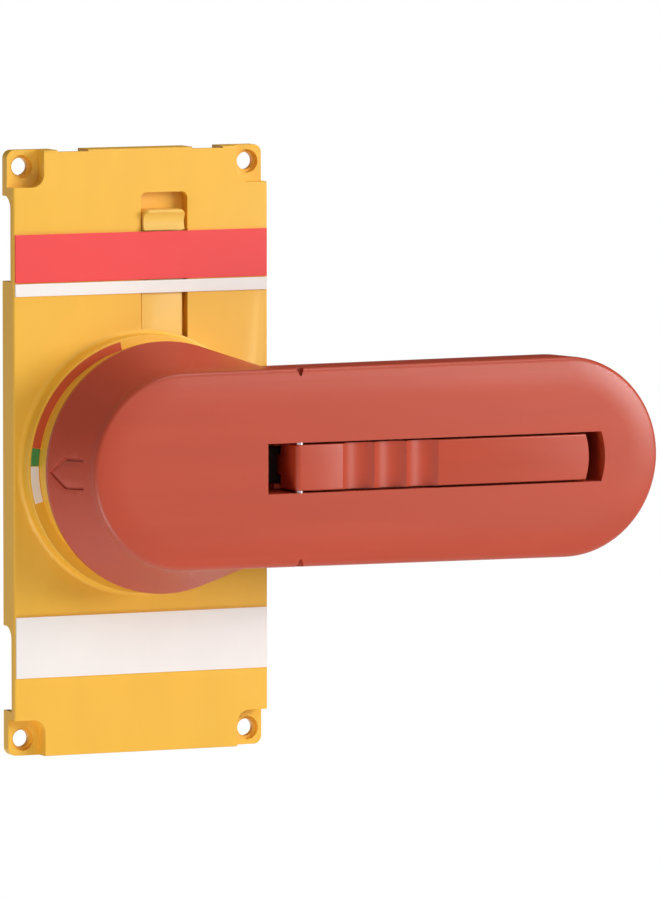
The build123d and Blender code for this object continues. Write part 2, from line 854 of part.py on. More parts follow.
with BuildPart() as toggle_pads:
    with BuildSketch(hub_plane(-carriage_rear)):
        with GridLocations(0, toggle_window_height + toggle_pad_thickness, 1, 2):
            with Locations((0, toggle_z)):
                Rectangle(toggle_window_width, toggle_pad_thickness)
    extrude(amount=carriage_thickness)
write(toggle_pads.part, "toggle_pads")

# ---------------------------------------------------------------- rear frame
groove_inner_x = carriage_half_width - frame_lip
groove_outer_x = carriage_half_width + frame_clearance
frame_front_y = -plate_inner_level + frame_clearance
frame_length = frame_top_z - frame_bottom_z

with BuildPart() as rear_frame:
    with BuildSketch(side_plane(frame_bottom_z)):
        with BuildLine():
            Polyline(
                (-frame_half_width, frame_rear), (-frame_half_width, frame_front_y),
                (-groove_inner_x, frame_front_y),
                (-groove_inner_x, carriage_front - frame_clearance),
                (-groove_outer_x, carriage_front - frame_clearance),
                (-groove_outer_x, frame_base_front), (0, frame_base_front),
                (0, frame_rear), close=True,
            )
        make_face()
        mirror(about=Plane.YZ)
    extrude(amount=frame_length)
    for low, high in (
        (frame_bottom_z - frame_end_length, frame_bottom_z),
        (frame_top_z, frame_top_z + frame_end_length),
    ):
        with BuildSketch(side_plane(low)):
            with Locations((0, 0)):
                Rectangle(2 * frame_half_width, frame_rear, align=(Align.CENTER, Align.MIN))
        extrude(amount=high - low)
    window_half = toggle_window_height / 2 + frame_window_margin
    window_low = toggle_z - carriage_down_travel - window_half
    window_high = toggle_z + carriage_up_travel + window_half
    with BuildSketch(hub_plane(-frame_rear)):
        with Locations((0, (window_low + window_high) / 2)):
            Rectangle(
                toggle_window_width + 2 * frame_window_margin, window_high - window_low
            )
    extrude(amount=frame_base_thickness, mode=Mode.SUBTRACT)
    with BuildSketch(hub_plane(-frame_rear)):
        with Locations(*frame_screw_points):
            Circle(m3_radius + m3_clearance)
    extrude(amount=frame_rear, mode=Mode.SUBTRACT)
    with BuildSketch(hub_plane(-frame_rear)):
        with Locations(*frame_screw_points):
            Circle(m3_head_radius + m3_clearance)
    extrude(amount=m3_head_height, mode=Mode.SUBTRACT)
write(rear_frame.part, "rear_frame")
write(
    screws(
        hub_plane(-frame_rear + m3_head_height), frame_screw_points,
        frame_rear - m3_head_height + frame_screw_grip,
    ),
    "frame_screws",
)

# ---------------------------------------------------------------- handle shell
def skirt_form(rear_level, front_level, inset):
    """Skirt tapering from its rear level to its front level, smaller all round by an inset."""
    rear_half = lever_half_width_hub + skirt_side_step - inset
    with BuildPart() as form:
        with BuildSketch(hub_plane(rear_level)):
            add(skirt_outline(skirt_radius - inset, rear_half))
        with BuildSketch(hub_plane(front_level)):
            add(skirt_outline(skirt_top_radius - inset, rear_half - skirt_side_draft))
        loft()
    return form.part


arrow_tip_y = -skirt_level - arrow_tip_rise
arrow_neck_y = arrow_tip_y - arrow_head_length
arrow_end_y = arrow_neck_y - arrow_body_length
def edge_steps():
    """Inset and drop of the outlines that make up the lever's rounded edge and crown."""
    slope = atan2(2 * lever_crown_drop, lever_crown_width)
    steps = []
    for index in range(edge_step_count + 1):
        lean = pi / 2 - (pi / 2 - slope) * index / edge_step_count
        steps.append(
            (
                lever_edge_radius * (1 - sin(lean)),
                lever_crown_drop + lever_edge_radius * (cos(slope) - cos(lean)),
            )
        )
    edge_inset = steps[-1][0]
    for index in range(1, crown_step_count + 1):
        part_way = index / crown_step_count
        steps.append(
            (
                edge_inset + lever_crown_width * part_way,
                lever_crown_drop * (1 - part_way) ** 2,
            )
        )
    return steps


def lever_form():
    """Solid lever: sides that draw in towards the rear, a rounded edge and a low crown."""
    steps = edge_steps()
    with BuildPart() as form:
        for inset, drop in [(lever_draft, lever_level - skirt_level), *steps]:
            with BuildSketch(hub_plane(lever_level - drop)):
                add(lever_outline(inset))
        loft(ruled=True)
    return form.part


with BuildPart() as arrow_groove:
    add(skirt_form(skirt_lip_level, skirt_top_level, 0))
    add(skirt_form(skirt_lip_level, skirt_top_level, arrow_depth), mode=Mode.SUBTRACT)
    with BuildSketch(Plane.YZ.offset(-skirt_radius)):
        with BuildLine():
            Polyline(
                (arrow_end_y, hub_z + arrow_half_width), (arrow_neck_y, hub_z + arrow_half_width),
                (arrow_tip_y, hub_z),
                (arrow_neck_y, hub_z - arrow_half_width), (arrow_end_y, hub_z - arrow_half_width),
            )
        trace(line_width=arrow_stroke)
    extrude(amount=skirt_radius, mode=Mode.INTERSECT)

with BuildPart() as handle_shell:
    # lever with a crowned front, over a round skirt
    add(lever_form())
    with BuildSketch(hub_plane(skirt_level)):
        add(skirt_outline(skirt_radius, lever_half_width_hub + skirt_side_step))
    extrude(amount=skirt_lip)
    add(skirt_form(skirt_lip_level, skirt_top_level, 0))

    # hollow from the rear
    add(skirt_form(skirt_level, shell_inner_level, shell_wall), mode=Mode.SUBTRACT)
    with BuildSketch(hub_plane(skirt_level)):
        add(lever_outline(inset=shell_wall, left=back_cover_seat_x))
    extrude(amount=shell_inner_level - skirt_level, mode=Mode.SUBTRACT)

    # column that takes the shaft, bosses for its screws and the cover's
    with BuildSketch(hub_plane(shaft_flange_level + shaft_flange_thickness)):
        Circle(shaft_radius + shaft_column_wall)
        with PolarLocations(flange_screw_radius, flange_screw_count, start_angle=90):
            Circle(cover_boss_radius)
    extrude(amount=shell_inner_level - shaft_flange_level - shaft_flange_thickness)
    with BuildSketch(hub_plane(cover_inner_level)):
        with Locations(*cover_screw_points):
            Circle(cover_boss_radius)
    extrude(amount=shell_inner_level - cover_inner_level)

    # arrow sunk into the skirt
    add(arrow_groove.part, mode=Mode.SUBTRACT)

    # walls round the padlock slot, then the slot right through
    with BuildSketch(hub_plane(cover_inner_level)):
        add(
            bulged_bar(
                slot_left - slot_wall, slot_right + slot_wall,
                slot_half_width + slot_wall, slot_end_bulge,
            )
        )
    extrude(amount=shell_inner_level - cover_inner_level)
    with BuildSketch(hub_plane(skirt_level)):
        add(bulged_bar(slot_left, slot_right, slot_half_width, slot_end_bulge))
    extrude(amount=lever_level - skirt_level, mode=Mode.SUBTRACT)

    # ledges under the closed bar's long edges, and the way out for the lock bolt
    ledge_level = lever_level - bar_thickness - bar_ledge_gap
    with BuildSketch(hub_plane(ledge_level - bar_ledge_thickness)):
        ledge_z = slot_half_width - (bar_ledge_reach - overlap) / 2
        for side in (-1, 1):
            with Locations((bar_ledge_left, side * ledge_z)):
                Rectangle(
                    bar_ledge_right - bar_ledge_left, bar_ledge_reach + overlap,
                    align=(Align.MIN, Align.CENTER),
                )
    extrude(amount=bar_ledge_thickness)
    with BuildSketch(hub_plane(cover_inner_level)):
        with Locations((slot_left - slot_wall / 2, 0)):
            Rectangle(2 * slot_wall, 2 * (bolt_half_width + bolt_clearance))
    extrude(amount=bolt_front_level + bolt_clearance - cover_inner_level, mode=Mode.SUBTRACT)

    # bore for the bar's pin, socket for the shaft, pilot holes
    with BuildSketch(side_plane(-lever_half_width_tip - cut_past)):
        with Locations((hinge_x, -hinge_level)):
            Circle(hinge_pin_radius)
    extrude(amount=2 * (lever_half_width_tip + cut_past), mode=Mode.SUBTRACT)
    with BuildSketch(hub_plane(shaft_flange_level + shaft_flange_thickness)):
        Rectangle(shaft_square, shaft_square)
    extrude(amount=shaft_stub_length + socket_clearance, mode=Mode.SUBTRACT)
    with BuildSketch(hub_plane(shaft_flange_level + shaft_flange_thickness)):
        with PolarLocations(flange_screw_radius, flange_screw_count, start_angle=90):
            Circle(m3_radius)
    extrude(amount=flange_screw_grip + screw_hole_spare, mode=Mode.SUBTRACT)
    with BuildSketch(hub_plane(cover_inner_level)):
        with Locations(*cover_screw_points):
            Circle(m3_radius)
    extrude(amount=cover_screw_grip + screw_hole_spare, mode=Mode.SUBTRACT)
write(handle_shell.part, "handle_shell")

flange_points = [
    (
        flange_screw_radius * cos(radians(90 + 360 / flange_screw_count * index)),
        flange_screw_radius * sin(radians(90 + 360 / flange_screw_count * index)),
    )
    for index in range(flange_screw_count)
]
write(
    screws(
        hub_plane(shaft_flange_level), flange_points, shaft_flange_thickness + flange_screw_grip
    ),
    "flange_screws",
)
write(
    screws(
        hub_plane(skirt_level + m3_head_height), cover_screw_points,
        back_cover_thickness - m3_head_height + cover_screw_grip,
    ),
    "cover_screws",
)

with BuildPart() as handle_cover:
    with BuildSketch(hub_plane(skirt_level)):
        add(lever_outline(inset=shell_wall + cover_clearance, left=back_cover_left))
        window_middle = (padlock_window_left + padlock_window_right) / 2
        with Locations((window_middle, 0)):
            Rectangle(
                padlock_window_right - padlock_window_left,
                2 * slot_half_width, mode=Mode.SUBTRACT,
            )
    extrude(amount=back_cover_thickness)
    guide_length = padlock_window_left - bolt_guide_end_gap - back_cover_left
    guide_z = bolt_half_width + bolt_clearance + bolt_guide_thickness / 2
    with BuildSketch(hub_plane(cover_inner_level)):
        for side in (-1, 1):
            with Locations((back_cover_left, side * guide_z)):
                Rectangle(
                    guide_length, bolt_guide_thickness, align=(Align.MIN, Align.CENTER)
                )
    extrude(amount=bolt_thickness)
    with BuildSketch(hub_plane(skirt_level)):
        with Locations(*cover_screw_points):
            Circle(m3_radius + m3_clearance)
    extrude(amount=back_cover_thickness, mode=Mode.SUBTRACT)
    with BuildSketch(hub_plane(skirt_level)):
        with Locations(*cover_screw_points):
            Circle(m3_head_radius + m3_clearance)
    extrude(amount=m3_head_height, mode=Mode.SUBTRACT)
write(handle_cover.part, "handle_cover")

# ---------------------------------------------------------------- padlock bar, its pin and bolt
scallop_radius = ((scallop_pitch / 2) ** 2 + scallop_depth**2) / (2 * scallop_depth)
bar_half_width = slot_half_width - bar_gap

with BuildPart() as padlock_bar:
    with BuildSketch(hub_plane(lever_level - bar_thickness)):
        add(bulged_bar(bar_left, bar_right, bar_half_width, bar_end_bulge))
    extrude(amount=bar_thickness)
    with BuildSketch(hub_plane(bolt_front_level + bolt_top_gap)):
        with Locations((bar_left, 0)):
            Rectangle(bar_heel_length, 2 * bar_half_width, align=(Align.MIN, Align.CENTER))
    extrude(amount=lever_level - bar_thickness - bolt_front_level - bolt_top_gap)
    with BuildSketch(hub_plane(nose_level)):
        with Locations((bar_left, 0)):
            Rectangle(bar_heel_length, 2 * bar_nose_half_width, align=(Align.MIN, Align.CENTER))
    extrude(amount=bolt_front_level + bolt_top_gap - nose_level)
    front_edges = padlock_bar.faces().sort_by(Axis.Y)[0].edges()
    fillet(front_edges.sort_by(Axis.X)[0], bar_heel_round)
    fillet(padlock_bar.faces().sort_by(Axis.Y)[0].edges().sort_by(Axis.X)[1:], bar_edge_radius)
    with BuildSketch(side_plane(-slot_half_width)):
        for index in range(scallop_count):
            centre_x = scallop_start + (index + 0.5) * scallop_pitch
            with Locations((centre_x, -lever_level + scallop_depth - scallop_radius)):
                Circle(scallop_radius)
    extrude(amount=2 * slot_half_width, mode=Mode.SUBTRACT)
    with BuildSketch(side_plane(-slot_half_width)):
        with Locations((hinge_x, -hinge_level)):
            Circle(hinge_pin_radius + hinge_pin_clearance)
    extrude(amount=2 * slot_half_width, mode=Mode.SUBTRACT)
write(padlock_bar.part, "padlock_bar")

pin_half_length = lever_half_width_hub - hinge_pin_inset
with BuildPart() as hinge_pin:
    with BuildSketch(side_plane(-pin_half_length)):
        with Locations((hinge_x, -hinge_level)):
            Circle(hinge_pin_radius)
    extrude(amount=2 * pin_half_length)
    chamfer(hinge_pin.edges(), hinge_pin_chamfer)
write(hinge_pin.part, "hinge_pin")

with BuildPart() as lock_bolt:
    with BuildSketch(hub_plane(bolt_level)):
        with Locations((bolt_finger_x, 0)):
            Rectangle(
                bolt_tail_x - bolt_finger_x, 2 * bolt_half_width, align=(Align.MIN, Align.CENTER)
            )
        with Locations((hinge_x, 0)):
            Rectangle(
                2 * bolt_pocket_reach, 2 * (bar_nose_half_width + bolt_clearance),
                mode=Mode.SUBTRACT,
            )
    extrude(amount=bolt_thickness)
    finger_level = pedestal_level - lock_groove_depth + bolt_clearance
    with BuildSketch(hub_plane(finger_level)):
        with Locations((bolt_finger_x, 0)):
            Rectangle(
                bolt_finger_length, 2 * bolt_half_width, align=(Align.MIN, Align.CENTER)
            )
    extrude(amount=bolt_level - finger_level)
write(lock_bolt.part, "lock_bolt")
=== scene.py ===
"""Rotary isolator switch: the finish of its pieces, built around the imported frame.

The file is laid out as an add-on.  Each operator dresses one piece or group of like
pieces, and main() runs them in order.
"""

import json
from math import atan2, cos, hypot, radians, sin

import bmesh
import bpy
from bpy.props import FloatProperty, FloatVectorProperty, PointerProperty
from mathutils import Matrix, Vector

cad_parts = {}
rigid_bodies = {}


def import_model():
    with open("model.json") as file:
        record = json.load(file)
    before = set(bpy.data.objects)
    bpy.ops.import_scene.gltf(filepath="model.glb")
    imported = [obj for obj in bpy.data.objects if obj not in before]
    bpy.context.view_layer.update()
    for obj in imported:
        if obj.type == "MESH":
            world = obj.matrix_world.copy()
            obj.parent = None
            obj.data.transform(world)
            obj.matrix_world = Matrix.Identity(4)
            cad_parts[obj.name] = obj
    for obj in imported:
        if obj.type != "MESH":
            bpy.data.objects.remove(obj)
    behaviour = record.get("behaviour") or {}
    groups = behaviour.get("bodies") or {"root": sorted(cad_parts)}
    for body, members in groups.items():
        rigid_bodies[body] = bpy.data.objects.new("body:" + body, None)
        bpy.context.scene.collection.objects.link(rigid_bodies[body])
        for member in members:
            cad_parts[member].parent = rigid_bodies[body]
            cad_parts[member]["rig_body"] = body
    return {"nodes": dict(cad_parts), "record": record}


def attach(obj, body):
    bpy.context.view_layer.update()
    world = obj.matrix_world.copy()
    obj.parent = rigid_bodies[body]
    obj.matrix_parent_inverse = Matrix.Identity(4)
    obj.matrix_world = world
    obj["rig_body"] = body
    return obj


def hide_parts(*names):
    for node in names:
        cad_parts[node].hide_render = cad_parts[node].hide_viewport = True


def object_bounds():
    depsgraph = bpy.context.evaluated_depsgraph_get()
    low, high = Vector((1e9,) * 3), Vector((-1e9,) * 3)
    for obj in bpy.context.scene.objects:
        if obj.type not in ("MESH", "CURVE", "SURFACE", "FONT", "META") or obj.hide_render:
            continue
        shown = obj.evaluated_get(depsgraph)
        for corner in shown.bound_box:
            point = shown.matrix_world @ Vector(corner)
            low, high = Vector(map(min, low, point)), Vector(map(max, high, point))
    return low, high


bl_info = {
    "name": "Rotary Isolator Switch",
    "version": (1, 0, 0),
    "blender": (4, 5, 0),
    "location": "View3D > Sidebar > Isolator",
    "description": "Dresses the pieces of a rotary isolator switch",
    "category": "Object",
}

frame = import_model()
cad_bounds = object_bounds()
cad_nodes = frame["nodes"]
slot_of = {part["node"]: part["material_slot"] for part in frame["record"]["subparts"]}

MM = 0.001
X_AXIS, Y_AXIS, Z_AXIS = 0, 1, 2

# meshes
MERGE_DISTANCE = 0.002 * MM  # points of a node that are this close become one
FLAT_ANGLE = radians(0.4)  # faces that meet flatter than this become one
SMOOTH_ANGLE = radians(32)  # edges past this stay sharp
EASE_ANGLE = radians(35)  # edges past this are eased
EASE_SEGMENTS = 2

# a noise hardly leaves these limits, so a range mapped from them is used in full
NOISE_SPREAD = {"From Min": 0.3, "From Max": 0.7}

# typical IOR of each plastic; the metals keep the default
ABS_IOR = 1.53
POLYAMIDE_IOR = 1.53
POLYESTER_IOR = 1.58
NITRILE_IOR = 1.52

# screws
SCREW_SIDES = 32
FIRST_TURN_DEG, NEXT_TURN_DEG = 23, 67  # so that each cross stands at an angle of its own
RIM_SHARE = 0.97  # points past this share of the head's radius are its rim
RIM_MARGIN = 0.5 * MM  # points this far above or below the rim show the shank's radius
ROOT_SHARE = 0.8  # the thread's root, as a share of the shank's radius
TIP_SHARE = 0.9  # the tip, as a share of the root
LEAST_SHARE = 1e-6  # keeps the cross's outline from dividing by zero

# floor
FLOOR_HALF_WIDTH = 4.0
FLOOR_GLOW = 0.75
WHITE, PAPER_WHITE = "#FFFFFF", "#F4F4F4"


# ---------------------------------------------------------------- settings
def linear(hex_colour):
    """sRGB hex colour as linear red, green, blue and alpha."""
    channels = [int(hex_colour[start : start + 2], 16) / 255 for start in (1, 3, 5)]
    return [
        value / 12.92 if value <= 0.04045 else ((value + 0.055) / 1.055) ** 2.4
        for value in channels
    ] + [1.0]


class IsolatorFinish(bpy.types.PropertyGroup):
    """Colours, edge sizes and screw details of the switch's pieces."""

    plate_colour: FloatVectorProperty(
        name="Plate", description="Colour of the moulded front plate",
        subtype="COLOR", size=4, min=0, max=1, default=linear("#F3B93A"),
    )
    slide_colour: FloatVectorProperty(
        name="Slide", description="Colour of the release slide",
        subtype="COLOR", size=4, min=0, max=1, default=linear("#F2C258"),
    )
    handle_colour: FloatVectorProperty(
        name="Handle", description="Colour of the lever, its cover and the padlock bar",
        subtype="COLOR", size=4, min=0, max=1, default=linear("#B64125"),
    )
    red_print_colour: FloatVectorProperty(
        name="Red print", description="Colour of the red strip",
        subtype="COLOR", size=4, min=0, max=1, default=linear("#EE3E3E"),
    )
    white_print_colour: FloatVectorProperty(
        name="White print", description="Colour of the white strips",
        subtype="COLOR", size=4, min=0, max=1, default=linear("#F4EEEA"),
    )
    # ring at ON: a red print, darkened in part as painted shade from the handle's skirt over
    # the ring
    ring_red_with_painted_shade_colour: FloatVectorProperty(
        name="Ring red", description="Colour of the ring at ON",
        subtype="COLOR", size=4, min=0, max=1, default=linear("#C9512F"),
    )
    green_print_colour: FloatVectorProperty(
        name="Green print", description="Colour of the ring at OFF",
        subtype="COLOR", size=4, min=0, max=1, default=linear("#3E8F4C"),
    )
    moulding_edge: FloatProperty(
        name="Moulding edge", description="Edge radius that a mould leaves on plastic",
        subtype="DISTANCE", unit="LENGTH", min=0.0, max=0.001, default=0.00022,
    )
    metal_edge: FloatProperty(
        name="Metal edge", description="Edge radius of turned and stamped metal",
        subtype="DISTANCE", unit="LENGTH", min=0.0, max=0.0005, default=0.0001,
    )
    film_edge: FloatProperty(
        name="Film edge", description="Edge radius of the die-cut label film",
        subtype="DISTANCE", unit="LENGTH", min=0.0, max=0.0003, default=0.00008,
    )
    recess_depth: FloatProperty(
        name="Screw recess", description="Depth of the cross in each screw's head",
        subtype="DISTANCE", unit="LENGTH", min=0.0, max=0.0014, default=0.001,
    )
    thread_pitch: FloatProperty(
        name="Thread pitch", description="Distance between the screws' threads",
        subtype="DISTANCE", unit="LENGTH", min=0.0003, max=0.002, default=0.0006,
    )


class IsolatorStage(bpy.types.PropertyGroup):
    """Camera, floor and lamps."""

    azimuth: FloatProperty(
        name="Azimuth", description="Camera's turn from straight in front, to the right",
        subtype="ANGLE", unit="ROTATION", default=radians(-24.0),
    )
    elevation: FloatProperty(
        name="Elevation", description="Camera's height above level",
        subtype="ANGLE", unit="ROTATION", default=radians(5.0),
    )
    distance: FloatProperty(
        name="Distance", description="From the camera to the point that it looks at",
        subtype="DISTANCE", unit="LENGTH", min=0.5, default=2.720,
    )
    aim: FloatVectorProperty(
        name="Aim", description="Point that the camera looks at",
        subtype="TRANSLATION", unit="LENGTH", size=3, default=(0.0544, -0.0075, -0.0018),
    )
    lens: FloatProperty(
        name="Lens", description="Focal length in millimetres", min=50, default=409.6,
    )
    floor_drop: FloatProperty(
        name="Floor drop", description="Floor's distance below the plate",
        subtype="DISTANCE", unit="LENGTH", min=0.0, default=0.8,
    )
    sky: FloatProperty(
        name="Sky", description="Strength of the even light from all round",
        min=0.0, default=0.22,
    )
    overhead: FloatProperty(
        name="Overhead", description="Strength of the sky overhead as reflections show it",
        min=0.0, default=0.3,
    )
    behind: FloatProperty(
        name="Behind", description="Strength of the sky behind as reflections show it",
        min=0.0, default=0.1,
    )
    key_power: FloatProperty(
        name="Key", description="Power of the lamp at the right",
        unit="POWER", min=0.0, default=12.3,
    )
    front_power: FloatProperty(
        name="Front", description="Power of the wide lamp in front",
        unit="POWER", min=0.0, default=2.9,
    )
    fill_power: FloatProperty(
        name="Fill", description="Power of the small lamp at the lower left",
        unit="POWER", min=0.0, default=4.1,
    )
    top_power: FloatProperty(
        name="Top", description="Power of the lamp overhead at the right",
        unit="POWER", min=0.0, default=4.4,
    )


# ---------------------------------------------------------------- nodes
def add_node(tree, kind, inputs=None, **settings):
    """Add a shader node, set its properties, and set or link its inputs by name or number."""
    added = tree.nodes.new(kind)
    for name, value in settings.items():
        setattr(added, name, value)
    for name, value in (inputs or {}).items():
        if isinstance(value, bpy.types.NodeSocket):
            tree.links.new(value, added.inputs[name])
        else:
            added.inputs[name].default_value = value
    return added


def new_material(name):
    """Empty node material and its tree."""
    material = bpy.data.materials.new(name)
    material.use_nodes = True
    material.node_tree.nodes.clear()
    return material, material.node_tree


# ---------------------------------------------------------------- materials
def moulded_abs(name, colour):
    """ABS moulded in a spark-eroded tool.

    To the eye it is satin: highlights are broad and soft, the grain breaks them up, and the
    pigment is a shade uneven where the melt flowed up the plate.
    """
    grain_mm = 0.5  # a spark-eroded grain is near 0.1 mm, drawn coarser so that it shows
    grain_depth_mm = 0.04
    flow_mm = 11.0  # flow marks about a centimetre wide
    flow_depth_mm = 0.12
    flow_stretch = 0.2  # less than 1 draws the marks out along Z
    darkest, palest = 0.975, 1.025
    smoothest, roughest = 0.40, 0.50  # a satin moulding is about 0.45
    material, tree = new_material(name)
    position = add_node(tree, "ShaderNodeTexCoord").outputs["Object"]
    grain = add_node(
        tree, "ShaderNodeTexNoise",
        {"Vector": position, "Scale": 1 / (grain_mm * MM), "Detail": 3.0, "Roughness": 0.55},
    )
    along_flow = add_node(
        tree, "ShaderNodeMapping", {"Vector": position, "Scale": (1.0, 1.0, flow_stretch)}
    )
    flow = add_node(
        tree, "ShaderNodeTexNoise",
        {"Vector": along_flow.outputs["Vector"], "Scale": 1 / (flow_mm * MM), "Detail": 3.0},
    )
    tone = add_node(
        tree, "ShaderNodeMapRange",
        {
            "Value": flow.outputs["Fac"], **NOISE_SPREAD,
            "To Min": darkest, "To Max": palest,
        },
    )
    pigment = add_node(
        tree, "ShaderNodeHueSaturation", {"Color": colour, "Value": tone.outputs["Result"]}
    )
    satin = add_node(
        tree, "ShaderNodeMapRange",
        {
            "Value": grain.outputs["Fac"], **NOISE_SPREAD,
            "To Min": smoothest, "To Max": roughest,
        },
    )
    eroded = add_node(
        tree, "ShaderNodeBump",
        {"Height": grain.outputs["Fac"], "Strength": 0.2, "Distance": grain_depth_mm * MM},
    )
    sunk = add_node(
        tree, "ShaderNodeBump",
        {
            "Height": flow.outputs["Fac"], "Strength": 0.2, "Distance": flow_depth_mm * MM,
            "Normal": eroded.outputs["Normal"],
        },
    )
    shader = add_node(
        tree, "ShaderNodeBsdfPrincipled",
        {
            "Base Color": pigment.outputs["Color"],
            "Roughness": satin.outputs["Result"],
            "Normal": sunk.outputs["Normal"],
            "IOR": ABS_IOR,
        },
    )
    add_node(tree, "ShaderNodeOutputMaterial", {"Surface": shader.outputs["BSDF"]})
    return material


def moulded_polyamide(name, colour, roughness, flow_axis):
    """Glass-filled polyamide (PA66), moulded.

    To the eye it is a dry satin with soft cloudy streaks along the flow, where the fibres
    lie nearer the skin and the surface turns a little paler and rougher.
    """
    fibre_mm = 0.6  # the fibres are about 0.3 mm long, drawn coarser so that they show
    fibre_depth_mm = 0.05
    flow_mm = 8.0  # streaks a little under a centimetre wide
    flow_depth_mm = 0.14
    flow_stretch = 0.14  # less than 1 draws the streaks out along the flow
    darkest, palest = 0.96, 1.045
    smoother, rougher = 0.05, 0.06  # either side of the roughness, typically 0.4 to 0.5
    material, tree = new_material(name)
    position = add_node(tree, "ShaderNodeTexCoord").outputs["Object"]
    stretch = Vector((1.0, 1.0, 1.0))
    stretch[flow_axis] = flow_stretch
    along_flow = add_node(tree, "ShaderNodeMapping", {"Vector": position, "Scale": stretch})
    streaks = add_node(
        tree, "ShaderNodeTexNoise",
        {"Vector": along_flow.outputs["Vector"], "Scale": 1 / (flow_mm * MM), "Detail": 4.0},
    )
    fibres = add_node(
        tree, "ShaderNodeTexNoise",
        {"Vector": position, "Scale": 1 / (fibre_mm * MM), "Detail": 3.0, "Roughness": 0.6},
    )
    tone = add_node(
        tree, "ShaderNodeMapRange",
        {
            "Value": streaks.outputs["Fac"], **NOISE_SPREAD,
            "To Min": darkest, "To Max": palest,
        },
    )
    pigment = add_node(
        tree, "ShaderNodeHueSaturation", {"Color": colour, "Value": tone.outputs["Result"]}
    )
    dry = add_node(
        tree, "ShaderNodeMapRange",
        {
            "Value": fibres.outputs["Fac"], **NOISE_SPREAD,
            "To Min": roughness - smoother, "To Max": roughness + rougher,
        },
    )
    skin = add_node(
        tree, "ShaderNodeBump",
        {"Height": fibres.outputs["Fac"], "Strength": 0.25, "Distance": fibre_depth_mm * MM},
    )
    wave = add_node(
        tree, "ShaderNodeBump",
        {
            "Height": streaks.outputs["Fac"], "Strength": 0.25,
            "Distance": flow_depth_mm * MM,
            "Normal": skin.outputs["Normal"],
        },
    )
    shader = add_node(
        tree, "ShaderNodeBsdfPrincipled",
        {
            "Base Color": pigment.outputs["Color"],
            "Roughness": dry.outputs["Result"],
            "Normal": wave.outputs["Normal"],
            "IOR": POLYAMIDE_IOR,
        },
    )
    add_node(tree, "ShaderNodeOutputMaterial", {"Surface": shader.outputs["BSDF"]})
    return material


def printed_film(name, colour):
    """Screen-printed polyester film, stuck down.

    To the eye it is smoother and glossier than the plate, with the faint orange peel of the
    ink and of the glue under it.
    """
    peel_mm = 1.6  # orange peel with dimples of one to two millimetres
    peel_depth_mm = 0.03
    ink_mm = 14.0  # slow drift in the ink's thickness
    darkest, palest = 0.985, 1.015
    glossiest, dullest = 0.32, 0.42  # satin print film is about 0.37
    material, tree = new_material(name)
    position = add_node(tree, "ShaderNodeTexCoord").outputs["Object"]
    peel = add_node(
        tree, "ShaderNodeTexNoise", {"Vector": position, "Scale": 1 / (peel_mm * MM)}
    )
    ink = add_node(
        tree, "ShaderNodeTexNoise", {"Vector": position, "Scale": 1 / (ink_mm * MM)}
    )
    tone = add_node(
        tree, "ShaderNodeMapRange",
        {
            "Value": ink.outputs["Fac"], **NOISE_SPREAD,
            "To Min": darkest, "To Max": palest,
        },
    )
    print_colour = add_node(
        tree, "ShaderNodeHueSaturation", {"Color": colour, "Value": tone.outputs["Result"]}
    )
    gloss = add_node(
        tree, "ShaderNodeMapRange",
        {
            "Value": peel.outputs["Fac"], **NOISE_SPREAD,
            "To Min": glossiest, "To Max": dullest,
        },
    )
    bump = add_node(
        tree, "ShaderNodeBump",
        {"Height": peel.outputs["Fac"], "Strength": 0.15, "Distance": peel_depth_mm * MM},
    )
    shader = add_node(
        tree, "ShaderNodeBsdfPrincipled",
        {
            "Base Color": print_colour.outputs["Color"],
            "Roughness": gloss.outputs["Result"],
            "Normal": bump.outputs["Normal"],
            "IOR": POLYESTER_IOR,
        },
    )
    add_node(tree, "ShaderNodeOutputMaterial", {"Surface": shader.outputs["BSDF"]})
    return material


def plated_steel(name, colour, roughness, line_axis):
    """Turned, stamped or drawn steel: zinc plated or bare, or near black as painted shade.

    To the eye it is metal with fine tool lines that stretch its highlights, under the thin
    cloudy film of its plating or oil.
    """
    line_mm = 0.9  # tool lines are near 0.05 mm apart, drawn coarser so that they show
    line_depth_mm = 0.02
    line_squeeze = 6.0  # more than 1 packs the lines along the axis that they cross
    cloud_mm = 4.0  # patches of the film, a few millimetres wide
    cloudiest, clearest = 0.9, 1.06
    smoother, rougher = 0.06, 0.08  # either side of the roughness, typically 0.3 to 0.45
    material, tree = new_material(name)
    position = add_node(tree, "ShaderNodeTexCoord").outputs["Object"]
    squeeze = Vector((1.0, 1.0, 1.0))
    squeeze[line_axis] = line_squeeze
    across_lines = add_node(tree, "ShaderNodeMapping", {"Vector": position, "Scale": squeeze})
    lines = add_node(
        tree, "ShaderNodeTexNoise",
        {"Vector": across_lines.outputs["Vector"], "Scale": 1 / (line_mm * MM), "Detail": 3.0},
    )
    cloud = add_node(
        tree, "ShaderNodeTexNoise", {"Vector": position, "Scale": 1 / (cloud_mm * MM)}
    )
    tone = add_node(
        tree, "ShaderNodeMapRange",
        {
            "Value": cloud.outputs["Fac"], **NOISE_SPREAD,
            "To Min": cloudiest, "To Max": clearest,
        },
    )
    plating = add_node(
        tree, "ShaderNodeHueSaturation", {"Color": colour, "Value": tone.outputs["Result"]}
    )
    polish = add_node(
        tree, "ShaderNodeMapRange",
        {
            "Value": lines.outputs["Fac"], **NOISE_SPREAD,
            "To Min": roughness - smoother, "To Max": roughness + rougher,
        },
    )
    bump = add_node(
        tree, "ShaderNodeBump",
        {"Height": lines.outputs["Fac"], "Strength": 0.2, "Distance": line_depth_mm * MM},
    )
    shader = add_node(
        tree, "ShaderNodeBsdfPrincipled",
        {
            "Base Color": plating.outputs["Color"],
            "Metallic": 1.0,
            "Roughness": polish.outputs["Result"],
            "Normal": bump.outputs["Normal"],
        },
    )
    add_node(tree, "ShaderNodeOutputMaterial", {"Surface": shader.outputs["BSDF"]})
    return material


